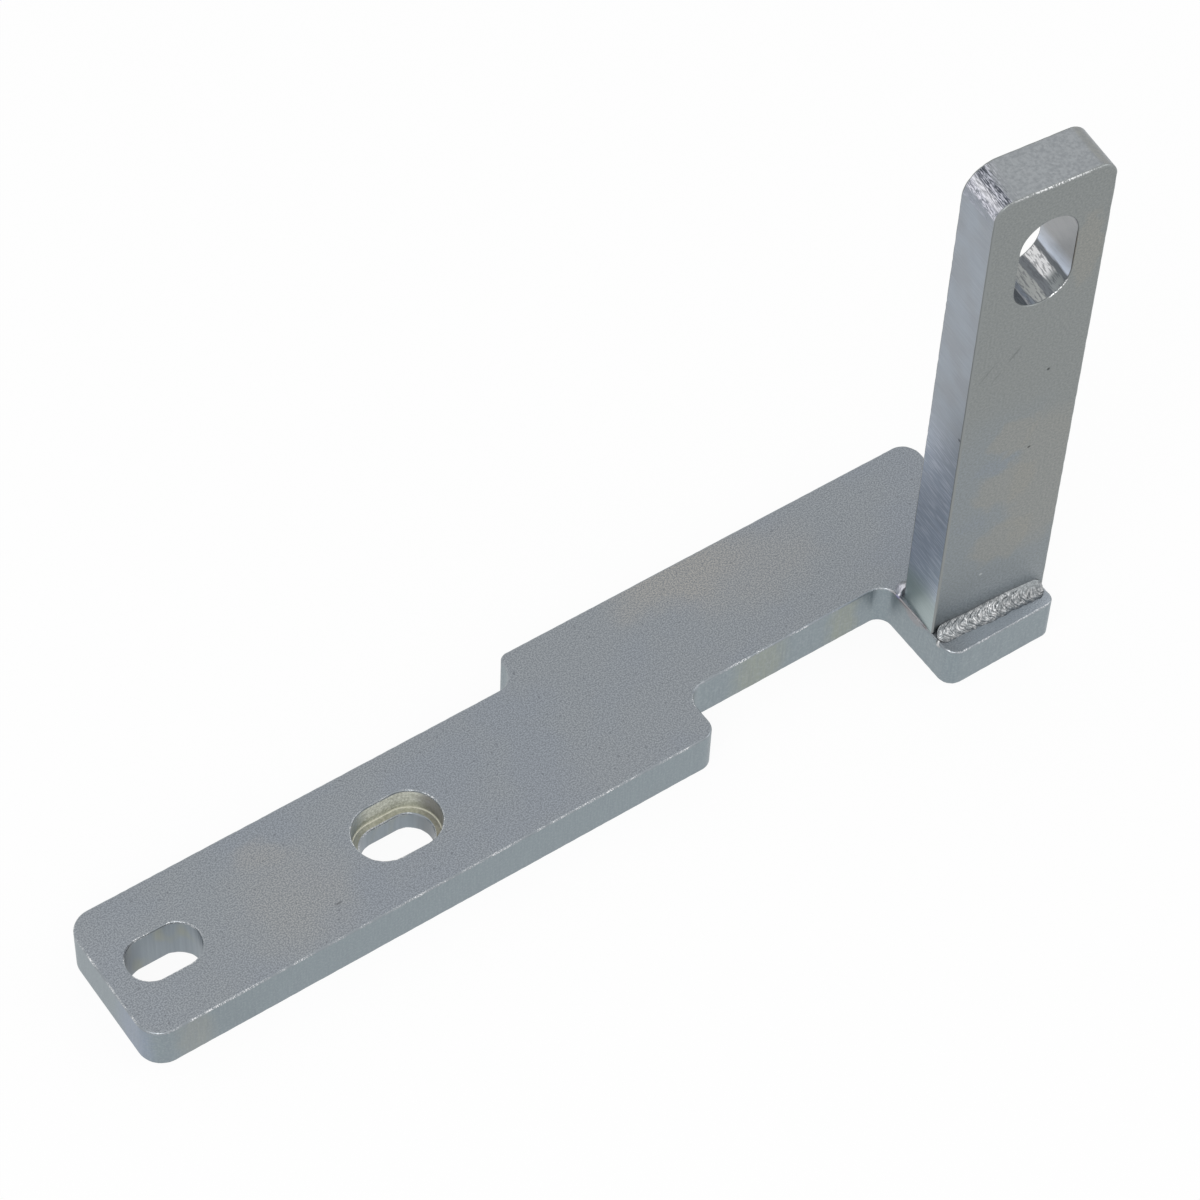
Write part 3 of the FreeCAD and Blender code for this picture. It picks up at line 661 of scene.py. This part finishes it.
for depth in (0, bar_thick):
    open_edges = [edge for edge in bar.edges
                  if edge.is_boundary and all(abs(vertex.co.y - depth) < 1e-7 for vertex in edge.verts)]
    bmesh.ops.triangle_fill(bar, use_beauty=True, edges=open_edges)
bmesh.ops.recalc_face_normals(bar, faces=bar.faces)
fray(bar, BAR_RIM, bar_rim_nick, 1, (0, bar_thick), cell=1.6 * MM)
for vertex in bar.verts:
    vertex.co.z = min(vertex.co.z, bar_height)
bmesh.ops.transform(bar, matrix=bar_place, verts=bar.verts)
finish_piece("bar_body", bar, [
    rolled_face(), scored_side(), sawn_end(), bar_rim(), filed_slot_painted_bands(), ground_corner()],
    "bar_zinc", "upright_bar")

# Front weld: a fillet bead run from left to right between the bar and the tab. It froze in ripples
# whose edges curve back to the left, it climbs the bar a little as it goes, and it is smoother along
# the bar at its right end. It is zinc over weld metal, painted bright on the ripples' crests, a painted
# highlight, and painted darker in the valleys and at the toes, painted shade.
ripple_pitch = 1.9 * MM
ripple_bow = 2.0 * MM
bead_end = 1.9 * MM
bead_root = 0.1 * MM
open_share = 0.9
root_share = 0.05
crater_from = 0.78
crater_share = 0.1
ripple_rise = 0.13
line_rise = 0.09
lump_rise = 0.06
bead_sink = 0.06


def rippled_metal():
    """Weld metal: a painted highlight on the crests of the ripples, painted shade in the valleys and
    along the toes.
    """
    material, tree, shader, place = start_bar_finish("weld_rippled_zinc", 0.3)
    crest_shading = add(tree, "ShaderNodeAttribute", attribute_name="crest_shading").outputs["Fac"]
    grain = mottle(tree, place, 3.5, detail=3.0, low=0.3, high=0.7)
    bright = mottle(tree, place, 1.4, detail=3.0, low=0.44, high=0.6)
    # The bead's shading attribute is painted light: 1 is a painted highlight on the ripples' crests, 0 is
    # painted shade in the valleys and at the toes.
    colour = mixed(tree, crest_shading, rgb(90, 94, 97), rgb(166, 170, 172))
    colour = mixed(tree, times(tree, times(tree, crest_shading, bright), 0.75), colour, rgb(250, 250, 250))
    # The first patch is painted light: the rear bead's end painted near-white, so that it shows bright
    # though it sits in shade behind the bar.
    colour = patched(tree, place, colour, (
        ((-0.8, 11.2, 1.4), (2.4, 3.4, 3.2), 0.9, rgb(246, 246, 255)),
        ((21.5, -0.6, 3.1), (6.0, 1.8, 1.5), 0.75, rgb(150, 155, 157))))
    colour = mixed(tree, times(tree, grain, 0.3), colour, rgb(96, 98, 100))
    tree.links.new(colour, shader.inputs["Base Color"])
    relief(tree, shader, grain, 0.04, 0.6)
    return material


def between(share, stops):
    """A value read off straight runs between stops, each a share of the way and a value."""
    for (one, low), (other, high) in zip(stops, stops[1:]):
        if share <= other:
            return low + (high - low) * (share - one) / (other - one)
    return stops[-1][1]


def fillet_bead(start, end, plate_toes, bar_toes, crown, crater, steps=300, around_steps=44):
    """A closed rippled bead in the corner between two faces, along X: depth is Y, height is Z."""
    bm = bmesh.new()
    bmesh.ops.create_grid(bm, x_segments=steps, y_segments=around_steps, size=0.5)
    crest_shading = bm.verts.layers.float.new("crest_shading")
    for vertex in bm.verts:
        along = vertex.co.x + 0.5
        around = vertex.co.y + 0.5
        x = start + (end - start) * along
        from_end = min(x - start, end - x)
        fullness = math.sqrt(max(0.0, 1 - max(0.0, 1 - from_end / bead_end) ** 2))
        straggle = 1 + 0.1 * noise.noise(Vector((x / MM * 1.2, 0.5, 7.0)))
        plate_toe = Vector((0, between(along, plate_toes) * MM * straggle, 0))
        bar_toe = Vector((0, 0, between(along, bar_toes) * MM))
        heart = plate_toe * 0.5 + bar_toe * 0.22
        inside = Vector((0, -bead_root, -bead_root))
        if around <= open_share:
            over = around / open_share
            point = plate_toe.lerp(bar_toe, over)
            out = Vector((0, bar_toe.z, plate_toe.y)).normalized()
            swell = 4 * over * (1 - over)
            wobble = 0.25 * noise.noise(Vector((x / MM * 0.9, over * 2.5, 1.0)))
            phase = (x + ripple_bow * swell) / ripple_pitch + wobble
            part = phase % 1.0
            ripple = min(part / 0.12, (1 - part) ** 0.8 * 1.12)
            lines = 1 - (phase * 3 + wobble) % 1.0
            lumps = noise.noise(Vector((x / MM * 2.6, over * 8, 3.0)))
            at_end = min(1.0, max(0.0, (along - crater_from) / crater_share))
            by_bar = min(1.0, 2.5 * max(0.0, over - 0.3))
            quiet = 1 - crater * at_end * by_bar
            raised = (ripple_rise * ripple + line_rise * lines) * quiet + lump_rise * lumps
            edge = min(1.0, 5 * over, 5 * (1 - over))
            point += out * MM * (crown * swell * fullness + raised * edge - bead_sink)
            # shade is painted light: painted highlights on the ripples and fine lines, painted shade
            # towards the toes, kept in the bead's shading attribute.
            shade = 0.3 * ripple + 0.75 * lines ** 1.5 + 0.35 * lumps
            shade = (shade * quiet + 0.35 * (1 - quiet)) * (0.35 + 0.65 * edge)
            vertex[crest_shading] = max(0.0, min(1.0, shade))
        else:
            back = (around - open_share) / root_share
            point = bar_toe.lerp(inside, back) if back < 1 else inside.lerp(plate_toe, back - 1)
        point = heart + (point - heart) * fullness
        vertex.co = Vector((x, point.y, point.z))
    bmesh.ops.remove_doubles(bm, verts=bm.verts, dist=0.004 * MM)
    return bm


front_bead = fillet_bead(
    0.3 * MM, 24.2 * MM,
    plate_toes=[(0.0, 2.9), (0.1, 3.0), (0.3, 2.75), (0.5, 2.85), (0.75, 2.55), (1.0, 2.3)],
    bar_toes=[(0.0, 2.0), (0.1, 2.3), (0.35, 2.5), (0.5, 3.0), (0.65, 3.3), (0.85, 3.3), (1.0, 3.1)],
    crown=0.2, crater=0.8)
bmesh.ops.scale(front_bead, vec=(1, -1, 1), verts=front_bead.verts)
bmesh.ops.transform(front_bead, matrix=bar_place, verts=front_bead.verts)
weld_finish = rippled_metal()
finish_piece("front_bead", front_bead, [weld_finish], "weld_zinc", "front_weld")

# Rear weld: the same bead behind the bar, run the other way. Only its end shows past the bar's left
# side, as a round blob painted near-white, a painted highlight, so the rest of it is taken to be like the
# front one.
rear_bead = fillet_bead(
    -24.0 * MM, 1.1 * MM,
    plate_toes=[(0.0, 2.7), (0.5, 2.8), (1.0, 2.6)],
    bar_toes=[(0.0, 2.5), (0.5, 2.9), (1.0, 2.6)],
    crown=0.5, crater=0.8)
for vertex in rear_bead.verts:
    vertex.co.y -= 0.7 * max(0.0, vertex.co.x)
bmesh.ops.scale(rear_bead, vec=(-1, 1, 1), verts=rear_bead.verts)
bmesh.ops.translate(rear_bead, vec=(0, bar_thick, 0), verts=rear_bead.verts)
bmesh.ops.transform(rear_bead, matrix=bar_place, verts=rear_bead.verts)
finish_piece("rear_bead", rear_bead, [weld_finish], "weld_zinc", "rear_weld")

# Spatter: a drip of weld metal that ran off the front bead's left end, over the tab's sharp top edge
# and a little way down its side, where it froze. It is painted bright, a painted highlight, with the
# weld's shading set high as on the ripples' crests.
drip = bmesh.new()
bmesh.ops.create_icosphere(drip, subdivisions=4, radius=0.55 * MM)
for vertex in drip.verts:
    lump = 1 + 0.35 * noise.noise(vertex.co / MM * 1.8)
    vertex.co = Vector((vertex.co.x * 0.9, vertex.co.y, vertex.co.z * 1.5)) * lump
    vertex.co.y -= 0.35 * max(0.0, -vertex.co.z)
drip_place = (tab_left_x + 0.1 * MM, -20.9 * MM, plate_top - 0.35 * MM)
bmesh.ops.translate(drip, vec=drip_place, verts=drip.verts)
drip_shading = drip.verts.layers.float.new("crest_shading")
# Painted light: the drip's shading is set high, a painted highlight as on the ripples' crests.
for vertex in drip.verts:
    vertex[drip_shading] = 0.8
finish_piece("spatter_drip", drip, [weld_finish], "weld_zinc")

# Stage: a pale floor under the bracket, lit softly from all round, as in the photo, where the
# bracket is shown cut out on white. The floor keeps a faint shadow.
floor_mesh = bmesh.new()
bmesh.ops.create_grid(floor_mesh, x_segments=1, y_segments=1, size=3.0)
bmesh.ops.translate(floor_mesh, vec=(0, 0, -0.05 * MM), verts=floor_mesh.verts)
floor_data = bpy.data.meshes.new("floor")
floor_mesh.to_mesh(floor_data)
floor_mesh.free()
floor = bpy.data.objects.new("floor", floor_data)
bpy.context.scene.collection.objects.link(floor)


def seen_directly(tree):
    """1 for rays that show the surroundings: from the camera, or off metal or through glass."""
    rays = add(tree, "ShaderNodeLightPath").outputs
    shiny = add(tree, "ShaderNodeMath", {0: rays["Is Glossy Ray"], 1: rays["Is Transmission Ray"]},
                operation="MAXIMUM").outputs["Value"]
    return add(tree, "ShaderNodeMath", {0: rays["Is Camera Ray"], 1: shiny},
               operation="MAXIMUM").outputs["Value"]


floor_paint = bpy.data.materials.new("floor_white")
floor_paint.use_nodes = True
tree = floor_paint.node_tree
tree.nodes.clear()
matt = add(tree, "ShaderNodeBsdfDiffuse", {"Color": (0.86, 0.86, 0.86, 1)})
glow = add(tree, "ShaderNodeEmission", {"Color": (1, 1, 1, 1), "Strength": 1.0})
floor_glow = 0.93
shown = times(tree, seen_directly(tree), floor_glow)
paint = add(tree, "ShaderNodeMixShader", {0: shown, 1: matt.outputs[0], 2: glow.outputs[0]})
add(tree, "ShaderNodeOutputMaterial", {"Surface": paint.outputs[0]})
floor_data.materials.append(floor_paint)

surroundings = bpy.data.worlds.new("studio")
bpy.context.scene.world = surroundings
surroundings.use_nodes = True
tree = surroundings.node_tree
tree.nodes.clear()
room = add(tree, "ShaderNodeBackground", {"Color": (1, 1, 1, 1), "Strength": 0.8})
backdrop = add(tree, "ShaderNodeBackground", {"Color": (1, 1, 1, 1), "Strength": 1.0})
sky = add(tree, "ShaderNodeMixShader", {
    0: seen_directly(tree), 1: room.outputs[0], 2: backdrop.outputs[0]})
add(tree, "ShaderNodeOutputWorld", {"Surface": sky.outputs[0]})

aim = Vector((60, -5, 30)) * MM
for name, away, size, power in (("soft_key", (-0.45, -0.35, 0.8), 0.5, 2.0),
                                ("soft_fill", (0.7, -0.4, 0.5), 0.6, 1.0)):
    lamp = bpy.data.lights.new(name, "AREA")
    lamp.size = size
    lamp.energy = power
    holder = bpy.data.objects.new(name, lamp)
    bpy.context.scene.collection.objects.link(holder)
    holder.location = aim + Vector(away).normalized() * 0.9
    holder.rotation_euler = Vector(away).to_track_quat("Z", "Y").to_euler()

# Camera: stands in front of the bracket, to its left and above, with a long lens, as in the photo.
# Its place was found by fitting the plate's and bar's known edges.
camera_data = bpy.data.cameras.new("camera")
camera = bpy.data.objects.new("camera", camera_data)
bpy.context.scene.collection.objects.link(camera)
bpy.context.scene.camera = camera
camera_data.sensor_width = 36.0
camera_data.lens = 131.75
camera_data.clip_start = 0.05
camera_data.clip_end = 20.0
camera_place = Vector((-216.23, -378.64, 670.22)) * MM
azimuth, elevation, roll = math.radians(-36.883), math.radians(52.806), math.radians(2.992)
level = math.cos(elevation)
back = Vector((math.sin(azimuth) * level, -math.cos(azimuth) * level, math.sin(elevation)))
right = Vector((0, 0, 1)).cross(back).normalized()
turned = Matrix((right, back.cross(right), back)).transposed() @ Matrix.Rotation(roll, 3, "Z")
camera.matrix_world = Matrix.Translation(camera_place) @ turned.to_4x4()

bpy.context.scene.view_settings.view_transform = "Standard"
